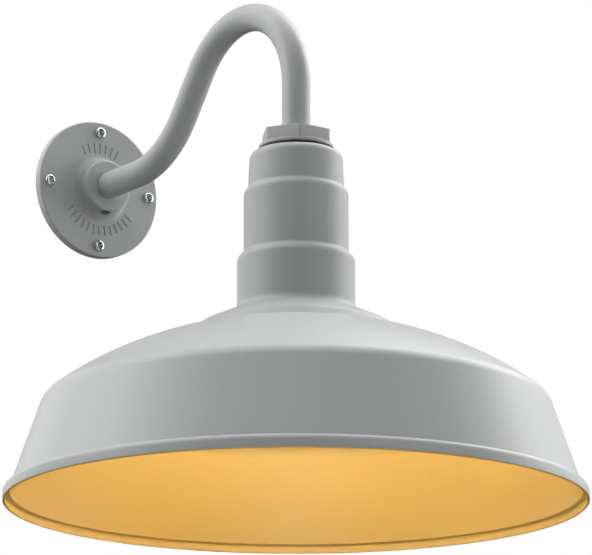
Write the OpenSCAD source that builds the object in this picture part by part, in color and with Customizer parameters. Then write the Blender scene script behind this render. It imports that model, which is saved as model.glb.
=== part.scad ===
// Gooseneck wall light: a cast wall plate, a bent tube arm, a stepped neck and a wide
// metal shade with a stepped rim. The row frame has its origin on the wall, in the centre
// of the wall plate. +Y points into the wall, -Y out into the room and +Z up.

/* [Overall] */
// Distance from the wall to the lamp's axis
reach = 278.5; // [276:0.5:420]
// Distance from the hub's centre down to the neck's top face
hub_to_neck = 32; // [30:1:60]
// Diameter over the shade's rim
rim_d = 430; // [350:1:560]

/* [Wall plate] */
// Diameter of the wall plate
plate_d = 113; // [108:1:150]
// Thickness of the wall plate at its edge
plate_t = 7; // [6:0.5:12]
// Depth of the wiring recess in the plate's back
plate_recess = 4; // [2:0.5:4]
// Radius of the plate's rounded front edge
plate_edge_r = 1.2; // [0.5:0.1:2.5]
// Diameter of the hub that takes the arm
hub_d = 44; // [38:1:56]
// Distance from the wall to the hub's front face
hub_h = 21; // [20:1:34]
// Radius of the fillet between the hub and the plate
hub_fillet = 7.5; // [4:0.5:9]
// Thickness of the gasket between the plate and the wall
wall_gasket_t = 1.5; // [1:0.5:3]
// Diameter of the circle that the wall screws stand on
screw_pcd = 95; // [90:0.5:98]
// Diameter of a wall screw's thread
screw_d = 4.8; // [4.5:0.1:6]
// Diameter of a wall screw's plain shank, inside the plate
screw_shank_d = 4; // [3.4:0.1:4.2]
// Length of a wall screw beyond the wall face
screw_reach = 8.9; // [6:0.1:40]
// Diameter of a wall screw's head
screw_head_d = 9.2; // [8:0.1:12]
// Number of wall screws
screw_count = 4; // [3:1:6]
// Diameter of the tapped hole under the hub
set_screw_d = 9; // [5:0.5:10]
// Diameter of the circle that the ground screw stands on
ground_pcd = 62; // [58:1:66]

/* [Arm] */
// Outside diameter of the arm tube
tube_d = 21.3; // [17:0.1:26.5]
// Wall thickness of the arm tube
tube_wall = 2.1; // [1.5:0.1:3]
// Radius of the arm's top bend, on the tube's centre line
top_bend = 70.5; // [60:0.5:72]
// Radius of the arm's lower bend, on the tube's centre line
low_bend = 84; // [60:0.5:86]
// Height of the top bend's centre over the hub
bend_rise = 20.5; // [10:0.5:60]
// Length of straight tube between the wall and the lower bend
wall_run = 62; // [45:1:66]
// Diameter of the sleeve that holds the leads
sleeve_d = 7; // [5:0.5:9]

/* [Locknut] */
// Width of the locknut across its flats
nut_flats = 48.3; // [40:0.1:52]
// Height of the locknut's hexagon
nut_h = 10.3; // [8:0.1:16]
// Diameter of the locknut's flange
flange_d = 56.5; // [54:0.5:62]
// Thickness of the locknut's flange
flange_t = 2.8; // [2:0.1:5]
// Thickness of the washer under the locknut
washer_t = 2.1; // [1:0.1:4]
// Diameter of the washer under the locknut
washer_d = 50; // [44:0.5:54]

/* [Neck] */
// Radius of the neck's top step at its upper end
step1_top_r = 34.8; // [32:0.1:36]
// Radius of the neck's top step at its lower end
step1_r = 36; // [34:0.1:38]
// Radius of the neck's middle step
step2_r = 39.2; // [37:0.1:42]
// Radius of the neck's bottom step
step3_r = 44; // [42:0.1:50]
// Height of the neck's top step
step1_h = 28.2; // [20:0.1:35]
// Height of the neck's middle step
step2_h = 50.4; // [40:0.1:65]
// Height of the neck's bottom step
step3_h = 43.7; // [38:0.1:60]
// Height of each sloped shoulder between two steps
shoulder_h = 3.8; // [3:0.1:8]
// Radius that rounds the shoulders
shoulder_r = 7; // [4:0.5:9]
// Radius that rounds the neck's top edge
neck_edge_r = 6.5; // [4:0.5:9]
// Radius of the flared collar at the neck's foot
collar_r = 78; // [64:0.5:94]
// Height of the flared collar
collar_h = 19.6; // [14:0.1:26]
// Wall thickness of the neck
neck_wall = 2.2; // [1.6:0.1:3]
// Wall thickness of the neck's boss round the arm
boss_wall = 6.3; // [4:0.1:8]

/* [Shade] */
// Height of the shade from its rim to its seat under the collar
shade_h = 126.6; // [105:0.1:155]
// Height of the shade's shoulder over its rim
shade_shoulder_h = 76; // [60:0.5:90]
// How far the shoulder stands inside the rim, at the radius
shade_shoulder_in = 27.6; // [20:0.1:40]
// How far the dome bulges over a straight line from seat to shoulder
dome_bulge = 6.6; // [1:0.1:10]
// Radius that rounds the shoulder
shade_shoulder_r = 16; // [6:1:20]
// Wall thickness of the shade
shade_wall = 1.2; // [0.8:0.1:2]
// Radius of the hole in the shade's seat
shade_hole_r = 46; // [44:0.5:54]
// How far the rim's step stands out from the skirt
rim_step = 5.3; // [4:0.1:9]
// Height of the skirt's lower end over the rim's edge
rim_h = 10.2; // [9:0.1:16]
// Thickness of the folded lip at the rim's edge
rim_lip = 2; // [1.4:0.1:3]
// Height of the lip's inner face
rim_lip_h = 6.8; // [4:0.1:7]
// Thickness of the gasket let into the collar's underside
seat_gasket_t = 1; // [0.4:0.1:1.5]

/* [Lampholder] */
// Outside diameter of the porcelain lampholder
socket_d = 39; // [32:0.1:47]
// Height of the porcelain lampholder
socket_h = 50; // [46:1:60]
// Inside diameter of the lampholder's screw shell
shell_d = 26.8; // [26.8:0.1:28]
// Wall thickness of the lampholder's screw shell
shell_t = 0.4; // [0.3:0.1:0.6]
// Height of the lampholder's mouth over the shade's seat
mouth_rise = 19; // [14:1:24]
// Thickness of the bracket plate
bracket_t = 1.5; // [1:0.1:3]

/* [Bulb] */
// Largest diameter of the bulb's envelope
bulb_d = 60; // [50:1:66]
// Length of the bulb from its contact to its tip
bulb_len = 108; // [100:1:116]
// Diameter of the bulb's screw cap
cap_d = 26.2; // [25.8:0.1:26.4]
// Length of the bulb's screw cap, contact included
cap_len = 26; // [24:0.5:28]
// Thickness of the bulb's glass
bulb_wall = 0.8; // [0.6:0.1:1.2]

/* [Hidden] */

$fn = 96;
// Number of straight pieces in each rounded corner of an outline
corner_steps = 8;
// Number of straight pieces in the dome's outline
dome_steps = 12;
// Overrun of a cut beyond the face that it opens
over = 1;

// Clearances and fits, each on the radius or along the axis
running_gap = 0.05;
body_gap = 0.3;
screw_gap = 0.3;
thread_gap = 0.05;
// Land left between a screw's head or hole and the next edge
land = 2;

// Colours
grey_paint = [0.70, 0.71, 0.71];
amber_enamel = [0.93, 0.66, 0.25];
steel = [0.78, 0.79, 0.80];
brass = [0.80, 0.65, 0.33];
porcelain = [0.93, 0.92, 0.88];
black_rubber = [0.08, 0.08, 0.08];
opal = [0.97, 0.95, 0.90, 0.8];
glass_yarn = [0.85, 0.83, 0.76];

// Arm path. Both bends lie in the plane x = 0; q runs from the lamp's axis to the wall.
tube_r = tube_d / 2;
low_q = reach - wall_run;
bend_dq = low_q - top_bend;
bend_dz = low_bend - bend_rise;
bend_span = norm([bend_dq, bend_dz]);
bend_turn = asin((top_bend + low_bend) / bend_span) - atan2(bend_dz, bend_dq);
slope_len = sqrt(pow(bend_span, 2) - pow(top_bend + low_bend, 2));
tube_in_neck = 24;
weld_len = 1;
weld_out = 0.02;

// Levels, all measured from the hub's centre
neck_top = -hub_to_neck;
step1_end = neck_top - step1_h;
step2_end = step1_end - step2_h;
step3_end = step2_end - step3_h;
seat_z = step3_end - collar_h;
rim_z = seat_z - shade_h;
washer_bottom = neck_top + body_gap;
flange_bottom = washer_bottom + washer_t;
nut_bottom = flange_bottom + flange_t;

// Shade radii
rim_r = rim_d / 2;
skirt_foot_r = rim_r - rim_step;
shoulder_corner_r = rim_r - shade_shoulder_in;

// Neck boss that takes the arm's lower end
boss_r = tube_r + boss_wall;
boss_h = 20;

// Shade clamp
clamp_screw_r = 2;
clamp_screw_count = 3;
clamp_head_r = 4;
clamp_head_h = 2.4;
clamp_ring_t = 2;
clamp_boss_r = clamp_screw_r + 2.5;
clamp_pcd_r = (shade_hole_r + collar_r) / 2 - land;
clamp_ring_r = clamp_pcd_r + clamp_head_r + land + 1;
clamp_depth = 4;
clamp_hole_extra = 1;
// Width of the collar's bare edge, outside the gasket
gasket_edge = 5;

// Lampholder
mouth_z = seat_z + mouth_rise;
socket_top = mouth_z + socket_h;
bracket_top = socket_top + bracket_t;
post_r = 3.2;
post_x = step1_top_r - shoulder_r - post_r;
small_screw_r = 1.5;
small_head_r = 2.8;
small_head_t = 2;
small_screw_len = 8;
socket_neck_r = post_x - small_head_r - land;
socket_neck_h = 6;
socket_screw_y = socket_neck_r - small_screw_r - land - 1;
bracket_r = post_x + post_r + land / 2;
bracket_hole_r = socket_screw_y - small_head_r - land / 2;
shell_r = shell_d / 2;
shell_h = 24;
shell_inset = 1;
contact_room = 3;
cavity_h = cap_len + contact_room;

// Bulb levels
cap_proud = 1;
contact_z = mouth_z + cap_len - cap_proud;
cap_foot = contact_z - cap_len;
bulb_tip = contact_z - bulb_len;
cap_r = cap_d / 2;
contact_t = 1.6;
contact_r = 4.7;
insulator_t = 4.2;
insulator_r = 11;
cap_t = 0.35;

// Lead sleeve and leads
sleeve_r = sleeve_d / 2;
tube_foot = neck_top - tube_in_neck;
tube_wall_end = 5;
sleeve_wall_end = 1;
bushing_lip = 1.5;
sleeve_below_tube = 8;
sleeve_foot = tube_foot - sleeve_below_tube;
bushing_h = 10;
lead_r = 1.4;
lead_bend = 6;
lead_weld_len = 0.3;
lead_start_x = 1.6;
terminal_r = 3;
terminal_h = 3.2;
terminal_x = bracket_hole_r - terminal_r - 0.5;
lead_drop = 18;
lead_split_z = bracket_top + lead_drop;

// ---- Outline helpers -------------------------------------------------------------------

function unit(v) = v / norm(v);
function reversed(list) = [for (i = [len(list) - 1:-1:0]) list[i]];
function wrapped(a) = a > 180 ? a - 360 : a < -180 ? a + 360 : a;
function at_angle(a, r) = r * [cos(a), sin(a)];

// The arc of radius r that rounds the corner b between its neighbours a and c
function corner_arc(a, b, c, r) =
    let (u = unit(a - b),
         v = unit(c - b),
         half = acos(u * v) / 2,
         centre = b + unit(u + v) * r / sin(half),
         from = b + u * r / tan(half) - centre,
         to = b + v * r / tan(half) - centre,
         start = atan2(from[1], from[0]),
         sweep = wrapped(atan2(to[1], to[0]) - start))
    [for (i = [0:corner_steps]) centre + at_angle(start + sweep * i / corner_steps, r)];

function xy(p) = [p[0], p[1]];

// A closed outline whose points are [x, y, radius]; a radius of 0 keeps a sharp corner
function rounded(points) =
    let (n = len(points))
    [for (i = [0:n - 1])
        let (b = points[i],
             arc = b[2] == 0 ? [xy(b)] :
                   corner_arc(xy(points[(i + n - 1) % n]), xy(b), xy(points[(i + 1) % n]), b[2]))
        each arc];

// Points along the arc from p to q that bulges by h to the left of p-q, both ends left out
function bulged(p, q, h, steps) =
    let (chord = norm(q - p),
         radius = (chord * chord / 4 + h * h) / (2 * h),
         along = unit(q - p),
         side = [-along[1], along[0]],
         centre = (p + q) / 2 + side * (h - radius),
         start = atan2(p[1] - centre[1], p[0] - centre[0]),
         sweep = -2 * asin(chord / (2 * radius)))
    [for (i = [1:steps - 1]) centre + at_angle(start + sweep * i / steps, radius)];

// The line that runs at distance t to the right of an open line of [x, y, radius] points
function inset(line, t) =
    let (n = len(line))
    [for (i = [0:n - 1])
        let (b = xy(line[i]),
             d0 = i == 0 ? unit(xy(line[1]) - b) : unit(b - xy(line[i - 1])),
             d1 = i == n - 1 ? d0 : unit(xy(line[i + 1]) - b),
             right0 = [d0[1], -d0[0]],
             right1 = [d1[1], -d1[0]],
             mitre = unit(right0 + right1),
             turn = d0[0] * d1[1] - d0[1] * d1[0],
             r = line[i][2],
             p = b + mitre * t / (mitre * right0))
        [p[0], p[1], r == 0 ? 0 : turn < 0 ? max(r - t, t / 2) : r + t]];

// ---- Placing helpers -------------------------------------------------------------------

module on_lamp(z = 0) translate([0, -reach, z]) children();

// Turns a shape whose height runs along +Z so that it stands on the wall and points out
module off_wall() rotate([90, 0, 0]) children();

module ring(outer_r, inner_r, h) {
    difference() {
        cylinder(r = outer_r, h = h);
        translate([0, 0, -over]) cylinder(r = inner_r, h = h + 2 * over);
    }
}

// A cylinder between two heights
module rod(r, z0, z1) translate([0, 0, min(z0, z1)]) cylinder(r = r, h = abs(z1 - z0));

module around(count, radius, start = 0) {
    for (i = [0:count - 1])
        rotate([0, 0, start + i * 360 / count]) translate([radius, 0, 0]) children();
}

// A round pan head with a cross recess, its flat side on z = 0
module pan_head(r, h) {
    crown = 0.7 * h;
    arm_l = 1.24 * r;
    arm_w = 0.22 * r;
    recess = 0.54 * h;
    difference() {
        rotate_extrude() polygon(rounded([[0, 0, 0], [r, 0, 0], [r, h, crown], [0, h, 0]]));
        for (turn = [0, 90])
            rotate([0, 0, turn]) translate([-arm_l / 2, -arm_w / 2, h - recess])
                cube([arm_l, arm_w, h]);
    }
}

// ---- Wall side -------------------------------------------------------------------------

// Marks cast into the plate's face: short radial grooves along an arc
module face_marks(middle, count, pitch) {
    mark_r = plate_d * 0.27;
    mark_len = 8;
    mark_w = 1.4;
    mark_depth = 0.6;
    for (i = [0:count - 1])
        rotate([0, 0, middle + (i - (count - 1) / 2) * pitch])
            translate([mark_r, -mark_w / 2, plate_t - mark_depth])
                cube([mark_len, mark_w, mark_depth + over]);
}

set_screw_r = set_screw_d / 2;
set_screw_h = (hub_h + plate_t) / 2 + 1.5;
set_screw_sunk = 2.5;
ground_screw_r = 2;
ground_screw_depth = 2;
ground_head_r = 4;
ground_head_h = 2.2;
ground_angle = 135;
screw_head_h = 2.9;
screw_end_h = 0.8;
screw_in_head = 0.5;
gasket_inner_r = screw_pcd / 2 - screw_head_d / 2 - land;
gasket_outer_r = plate_d / 2 - 3;

module wall_plate() {
    plate_r = plate_d / 2;
    hub_r = hub_d / 2;
    hub_top_r = hub_r - 0.7;
    hub_edge_r = 2;
    back_edge_r = 0.4;
    color(grey_paint) off_wall() difference() {
        rotate_extrude() polygon(rounded([
            [0, 0, 0], [plate_r, 0, back_edge_r], [plate_r, plate_t, plate_edge_r],
            [hub_r, plate_t, hub_fillet], [hub_top_r, hub_h, hub_edge_r], [0, hub_h, 0]]));
        rod(tube_r + running_gap, -over, hub_h + over);
        translate([0, 0, -over]) ring(gasket_inner_r, hub_r, plate_recess + over);
        translate([0, 0, -over]) ring(gasket_outer_r, gasket_inner_r, wall_gasket_t + over);
        around(screw_count, screw_pcd / 2) rod(screw_shank_d / 2 + screw_gap, 0, plate_t + over);
        translate([0, -tube_r, set_screw_h]) rotate([90, 0, 0])
            rod(set_screw_r + thread_gap, -over, hub_r);
        around(1, ground_pcd / 2, ground_angle)
            rod(ground_screw_r + thread_gap, 0, plate_recess + ground_screw_depth);
        face_marks(90, 7, 9);
        face_marks(-90, 13, 9);
    }
}

module wall_gasket() {
    color(black_rubber) off_wall() difference() {
        ring(gasket_outer_r, gasket_inner_r, wall_gasket_t);
        around(screw_count, screw_pcd / 2) rod(screw_d / 2 + screw_gap, -over, plate_t);
    }
}

module plate_screws() {
    turn = 20;
    end_r = screw_d / 2 - screw_end_h / 2;
    color(steel) off_wall() around(screw_count, screw_pcd / 2) {
        rotate([0, 0, turn]) translate([0, 0, plate_t]) pan_head(screw_head_d / 2, screw_head_h);
        rod(screw_shank_d / 2, plate_t + screw_in_head, -screw_in_head);
        rod(screw_d / 2, 0, screw_end_h - screw_reach);
        translate([0, 0, -screw_reach])
            cylinder(r1 = end_r, r2 = screw_d / 2, h = screw_end_h);
    }
}

module hub_set_screw() {
    tip = tube_r + running_gap + body_gap;
    head = hub_d / 2 - set_screw_sunk;
    hex_r = set_screw_r * 0.56;
    hex_depth = (head - tip) * 0.4;
    color([0.2, 0.2, 0.2]) off_wall() translate([0, 0, set_screw_h]) rotate([90, 0, 0]) difference() {
        rod(set_screw_r, tip, head);
        translate([0, 0, head - hex_depth]) cylinder(r = hex_r, h = hex_depth + over, $fn = 6);
    }
}

module ground_screw() {
    color([0.15, 0.5, 0.25]) off_wall() around(1, ground_pcd / 2, ground_angle)
        translate([0, 0, plate_recess]) {
            rod(ground_screw_r, 0, ground_screw_depth - running_gap);
            mirror([0, 0, 1]) pan_head(ground_head_r, ground_head_h);
        }
}

// ---- Arm -------------------------------------------------------------------------------

// A straight round bar along +Y
module run(r, len) rotate([-90, 0, 0]) cylinder(r = r, h = len);

// A narrow band round the origin, along Y, that welds two pieces of a bar end to end
module weld(r, len = weld_len) translate([0, -len / 2, 0]) run(r + weld_out, len);

// A bend about the origin, in the XY plane
module bend(r, radius, from, turn) {
    rotate_extrude(angle = turn, start = from) translate([radius, 0]) circle(r = r);
}

// A round bar along the arm's centre line, from the height foot over the lamp to the
// distance wall_end from the wall. It is drawn in its own plane: x runs to the wall, y up.
module arm_bar(r, wall_end, foot) {
    top_turn = 90 + bend_turn;
    translate([0, -reach, 0]) rotate([90, 0, 90]) {
        translate([0, foot, 0]) run(r, bend_rise - foot);
        translate([0, bend_rise, 0]) weld(r);
        translate([top_bend, bend_rise, 0]) {
            bend(r, top_bend, 180 - top_turn, top_turn);
            rotate([0, 0, -top_turn]) translate([-top_bend, 0, 0]) {
                run(r, slope_len);
                weld(r);
                translate([0, slope_len, 0]) weld(r);
                translate([-low_bend, slope_len, 0]) {
                    bend(r, low_bend, 0, bend_turn);
                    rotate([0, 0, bend_turn]) translate([low_bend, 0, 0]) {
                        run(r, wall_run - wall_end);
                        weld(r);
                    }
                }
            }
        }
    }
}

module arm_tube() {
    bore_r = tube_r - tube_wall;
    color(grey_paint) difference() {
        arm_bar(tube_r, tube_wall_end, tube_foot);
        arm_bar(bore_r, tube_wall_end - over, tube_foot - over);
    }
}

module arm_lead_sleeve() {
    color(glass_yarn) arm_bar(sleeve_r, sleeve_wall_end, sleeve_foot);
}

// Plastic bushing that keeps the leads off the end of the tube; its lip is below z = 0
module tube_bushing() {
    bore_r = tube_r - tube_wall;
    lip_r = tube_r - tube_wall / 4;
    difference() {
        union() {
            rod(bore_r - thread_gap, 0, bushing_h);
            rod(lip_r, -bushing_lip, 0);
        }
        rod(sleeve_r + thread_gap, -bushing_lip - over, bushing_h + over);
    }
}

module arm_bushings() {
    color(black_rubber) {
        on_lamp(tube_foot) tube_bushing();
        off_wall() translate([0, 0, tube_wall_end]) tube_bushing();
    }
}

// ---- Locknut ---------------------------------------------------------------------------

module locknut() {
    corner_r = nut_flats / 2 / cos(30);
    color(grey_paint) on_lamp() difference() {
        union() {
            translate([0, 0, nut_bottom]) cylinder(r = corner_r, h = nut_h, $fn = 6);
            rod(flange_d / 2, flange_bottom, nut_bottom);
        }
        rod(tube_r + thread_gap, flange_bottom - over, nut_bottom + nut_h + over);
    }
}

module neck_washer() {
    color(black_rubber) on_lamp(washer_bottom)
        ring(washer_d / 2, tube_r + thread_gap, washer_t);
}

// ---- Neck ------------------------------------------------------------------------------

collar_edge_in = 5.5;
collar_edge_h = 6.9;
collar_edge_r = 12;
step_root_r = 3;
neck_foot_r = 7;
neck_line = [
    [0, neck_top, 0],
    [step1_top_r, neck_top, neck_edge_r],
    [step1_r, step1_end, step_root_r],
    [step2_r, step1_end - shoulder_h, shoulder_r],
    [step2_r, step2_end, step_root_r],
    [step3_r, step2_end - shoulder_h, shoulder_r],
    [step3_r, step3_end, neck_foot_r],
    [collar_r - collar_edge_in, seat_z + collar_edge_h, collar_edge_r],
    [collar_r, seat_z, 0]];

// The solid of revolution inside an open line that starts on the axis
module turned(line) {
    foot = line[len(line) - 1][1];
    rotate_extrude() polygon(rounded(concat(line, [[0, foot, 0]])));
}

seat_gasket_inner_r = shade_hole_r + land;
seat_gasket_outer_r = collar_r - gasket_edge;

module neck() {
    color(grey_paint) on_lamp() difference() {
        union() {
            difference() {
                turned(neck_line);
                turned(inset(neck_line, neck_wall));
            }
            rod(boss_r, neck_top - neck_wall / 2, neck_top - boss_h);
            intersection() {
                around(clamp_screw_count, clamp_pcd_r, 90) rod(clamp_boss_r, seat_z, step3_end);
                turned(neck_line);
            }
            intersection() {
                translate([0, 0, seat_z])
                    ring(collar_r, seat_gasket_inner_r, seat_gasket_t + neck_wall);
                turned(neck_line);
            }
        }
        rod(tube_r + running_gap, neck_top - boss_h - over, neck_top + over);
        translate([0, 0, seat_z - over])
            ring(seat_gasket_outer_r, seat_gasket_inner_r - over, seat_gasket_t + over);
        around(clamp_screw_count, clamp_pcd_r, 90)
            rod(clamp_screw_r + thread_gap, seat_z - over, seat_z + clamp_depth + clamp_hole_extra);
    }
}

module collar_gasket() {
    color(black_rubber) on_lamp(seat_z) difference() {
        ring(seat_gasket_outer_r, seat_gasket_inner_r, seat_gasket_t);
        around(clamp_screw_count, clamp_pcd_r, 90)
            rod(clamp_screw_r + screw_gap, -over, seat_gasket_t + over);
    }
}

// ---- Shade -----------------------------------------------------------------------------

// Radius of the skirt's outer face at a height over the rim's edge
function skirt_r(h) = skirt_foot_r
    + (skirt_foot_r - shoulder_corner_r) * (rim_h - h) / (shade_shoulder_h - rim_h);

seat_edge = [collar_r, seat_z];
shoulder_corner = [shoulder_corner_r, rim_z + shade_shoulder_h];
dome_line = [for (p = bulged(seat_edge, shoulder_corner, dome_bulge, dome_steps)) [p[0], p[1], 0]];
shade_top_line = concat(
    [[shade_hole_r, seat_z, 0], [seat_edge[0], seat_z, 0]],
    dome_line,
    [[shoulder_corner[0], shoulder_corner[1], shade_shoulder_r]]);
shade_inner_line = inset(
    concat(shade_top_line, [[skirt_r(rim_lip_h), rim_z + rim_lip_h, 0]]), shade_wall);
rim_outer_r = rim_lip * 0.55;
rim_root_r = 0.8;
rim_bead_r = rim_step - rim_root_r;
rim_inner_r = rim_lip * 0.3;
rim_line = [
    [skirt_foot_r, rim_z + rim_h, rim_root_r],
    [rim_r, rim_z + rim_h, rim_bead_r],
    [rim_r, rim_z, rim_outer_r],
    [rim_r - rim_lip, rim_z, rim_inner_r],
    [rim_r - rim_lip, rim_z + rim_lip_h, rim_inner_r]];

module shade() {
    color(grey_paint) on_lamp() difference() {
        rotate_extrude()
            polygon(rounded(concat(shade_top_line, rim_line, reversed(shade_inner_line))));
        around(clamp_screw_count, clamp_pcd_r, 90)
            rod(clamp_screw_r + screw_gap, seat_z - shade_wall - over, seat_z + over);
    }
}

clamp_top = seat_z - shade_wall;
clamp_foot = clamp_top - clamp_ring_t;

module clamp_ring() {
    color(amber_enamel) on_lamp() difference() {
        translate([0, 0, clamp_foot]) ring(clamp_ring_r, shade_hole_r, clamp_ring_t);
        around(clamp_screw_count, clamp_pcd_r, 90)
            rod(clamp_screw_r + screw_gap, clamp_foot - over, clamp_top + over);
    }
}

module clamp_screws() {
    color(steel) on_lamp() around(clamp_screw_count, clamp_pcd_r, 90) {
        rod(clamp_screw_r, clamp_foot, seat_z + clamp_depth);
        translate([0, 0, clamp_foot]) mirror([0, 0, 1]) pan_head(clamp_head_r, clamp_head_h);
    }
}

// ---- Lampholder ------------------------------------------------------------------------

module both_x(x) {
    for (side = [-1, 1]) translate([side * x, 0, 0]) children();
}

module both_y(y) {
    for (side = [-1, 1]) translate([0, side * y, 0]) children();
}

module bracket_posts() {
    color(steel) on_lamp() both_x(post_x) difference() {
        rod(post_r, bracket_top, neck_top - neck_wall);
        rod(small_screw_r + thread_gap, bracket_top - over, bracket_top + small_screw_len);
    }
}

module socket_bracket() {
    color(steel) on_lamp() difference() {
        rod(bracket_r, socket_top, bracket_top);
        rod(bracket_hole_r, socket_top - over, bracket_top + over);
        both_x(post_x) rod(small_screw_r + screw_gap, socket_top - over, bracket_top + over);
        both_y(socket_screw_y) rod(small_screw_r + screw_gap, socket_top - over, bracket_top + over);
    }
}

module bracket_screws() {
    color(steel) on_lamp() both_x(post_x) {
        rod(small_screw_r, socket_top, bracket_top + small_screw_len - land);
        translate([0, 0, socket_top]) mirror([0, 0, 1]) pan_head(small_head_r, small_head_t);
    }
}

module socket_screws() {
    color(steel) on_lamp() both_y(socket_screw_y) {
        rod(small_screw_r, bracket_top, socket_top - small_screw_len + land);
        translate([0, 0, bracket_top]) pan_head(small_head_r, small_head_t);
    }
}

module socket_body() {
    socket_r = socket_d / 2;
    wide_top = socket_top - socket_neck_h;
    cavity_r = shell_r + shell_t;
    slope_h = 2;
    edge_r = 2;
    step_r = 1;
    color(porcelain) on_lamp() difference() {
        turned([
            [0, socket_top, 0], [socket_neck_r, socket_top, step_r],
            [socket_neck_r, wide_top, step_r], [socket_r, wide_top - slope_h, edge_r],
            [socket_r, mouth_z, edge_r]]);
        rod(cavity_r, mouth_z - over, mouth_z + cavity_h);
        both_y(socket_screw_y)
            rod(small_screw_r + thread_gap, socket_top - small_screw_len, socket_top + over);
    }
}

module screw_shell() {
    color(brass) on_lamp(mouth_z + shell_inset) {
        ring(shell_r + shell_t, shell_r, shell_h);
        translate([0, 0, shell_h]) ring(shell_r + shell_t, insulator_r, shell_t);
    }
}

// Sprung tongue over the bulb's contact, folded from one brass strip
module center_contact() {
    strip_w = 6;
    strip_t = 0.5;
    half_len = 5;
    tongue_z = contact_z + body_gap;
    root_z = mouth_z + cavity_h;
    color(brass) on_lamp() {
        translate([-half_len, -strip_w / 2, tongue_z]) cube([2 * half_len, strip_w, strip_t]);
        translate([-half_len, -strip_w / 2, tongue_z]) cube([strip_t, strip_w, root_z - tongue_z]);
        translate([-half_len, -strip_w / 2, root_z - strip_t]) cube([half_len, strip_w, strip_t]);
    }
}

module socket_terminals() {
    color(brass) on_lamp(socket_top) both_x(terminal_x) rod(terminal_r, 0, terminal_h);
}

module socket_lead_sleeve() {
    color(glass_yarn) on_lamp() rod(sleeve_r, lead_split_z, sleeve_foot - body_gap);
}

// A lead that comes straight down, steps sideways along x and ends on its terminal
module lead() {
    shift = terminal_x - lead_start_x;
    turn = acos(1 - shift / (2 * lead_bend));
    drop = 2 * lead_bend * sin(turn);
    foot = socket_top + terminal_h;
    tail = (lead_split_z - foot - drop) / 2;
    rotate([90, 0, 0]) {
        translate([terminal_x, foot, 0]) {
            run(lead_r, tail);
            translate([0, tail, 0]) weld(lead_r, lead_weld_len);
            translate([-lead_bend, tail, 0]) bend(lead_r, lead_bend, 0, turn);
        }
        translate([(lead_start_x + terminal_x) / 2, foot + tail + drop / 2, 0])
            rotate([0, 0, turn]) weld(lead_r, lead_weld_len);
        translate([lead_start_x, lead_split_z - tail, 0]) {
            run(lead_r, tail);
            weld(lead_r, lead_weld_len);
            translate([lead_bend, 0, 0]) bend(lead_r, lead_bend, 180, turn);
        }
    }
}

module lead_black() {
    color([0.1, 0.1, 0.1]) on_lamp() lead();
}

module lead_white() {
    color([0.95, 0.95, 0.93]) on_lamp() mirror([1, 0, 0]) lead();
}

// ---- Bulb ------------------------------------------------------------------------------

glass_neck_r = cap_r - cap_t - thread_gap;
glass_in_cap = 6;
glass_top = cap_foot + glass_in_cap;
glass_neck_h = 12;
glass_neck_bend = 18;
glass_belly_h = 14;
glass_belly_bend = 34;
glass_tip_flat = 0.5;
glass_line = [
    [glass_neck_r, glass_top, 0],
    [glass_neck_r, cap_foot - glass_neck_h, glass_neck_bend],
    [bulb_d / 2, bulb_tip + bulb_d / 2 + glass_belly_h, glass_belly_bend],
    [bulb_d / 2, bulb_tip, bulb_d / 2 - glass_tip_flat],
    [0, bulb_tip, 0]];
stem_len = 34;
stem_foot = cap_foot - stem_len;
stem_r = 3.4;
filament_r = 5.4;
filament_drop = 8;
wire_r = 0.5;

module bulb_glass() {
    inner = inset(glass_line, bulb_wall);
    color(opal) on_lamp() rotate_extrude() polygon(rounded(concat(glass_line, reversed(inner))));
}

module bulb_stem() {
    flare_r = glass_neck_r - bulb_wall - thread_gap;
    flare_t = 1.5;
    waist_z = cap_foot - 8;
    waist_bend = 5;
    foot_bend = 1;
    color(opal) on_lamp() turned([
        [0, glass_top, 0], [flare_r, glass_top, 0], [flare_r, glass_top - flare_t, 0],
        [stem_r, waist_z, waist_bend], [stem_r, stem_foot, foot_bend]]);
}

module bulb_filament() {
    hoop_z = stem_foot - filament_drop;
    color(steel) on_lamp() {
        both_x(filament_r / 2) rod(wire_r, hoop_z - wire_r, stem_foot);
        translate([0, 0, hoop_z]) rotate([0, 90, 0]) rod(wire_r, -filament_r, filament_r);
    }
}

module bulb_cap() {
    shell_top = contact_z - contact_t - insulator_t;
    edge_h = 2;
    edge_r = 1;
    cap_line = [
        [insulator_r, shell_top, 0], [cap_r, shell_top - edge_h, edge_r], [cap_r, cap_foot, 0]];
    color(steel) on_lamp() rotate_extrude()
        polygon(rounded(concat(cap_line, reversed(inset(cap_line, cap_t)))));
}

module bulb_insulator() {
    foot = contact_z - contact_t - insulator_t;
    color(black_rubber) on_lamp(foot)
        cylinder(r1 = insulator_r, r2 = contact_r, h = insulator_t);
}

module bulb_contact() {
    tip_r = contact_r - 1.2;
    color(steel) on_lamp(contact_z - contact_t)
        cylinder(r1 = contact_r, r2 = tip_r, h = contact_t);
}

wall_plate();
wall_gasket();
plate_screws();
hub_set_screw();
ground_screw();
arm_tube();
arm_lead_sleeve();
arm_bushings();
locknut();
neck_washer();
neck();
collar_gasket();
shade();
clamp_ring();
clamp_screws();
bracket_posts();
socket_bracket();
bracket_screws();
socket_screws();
socket_body();
screw_shell();
center_contact();
socket_terminals();
socket_lead_sleeve();
lead_black();
lead_white();
bulb_glass();
bulb_cap();
bulb_insulator();
bulb_contact();
bulb_stem();
bulb_filament();
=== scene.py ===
"""Gooseneck wall light: the visual model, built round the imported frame.

The row frame has its origin on the wall, in the centre of the wall plate. +Y points into
the wall, -Y out into the room and +Z up. Sizes of the light's pieces are millimetres, and
MM turns them into metres. Places and sizes in the studio are metres.
"""
import logging
import math
from dataclasses import dataclass
from enum import Enum
from typing import Any, Sequence

import bmesh
import bpy
from mathutils import Matrix, Vector


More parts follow.
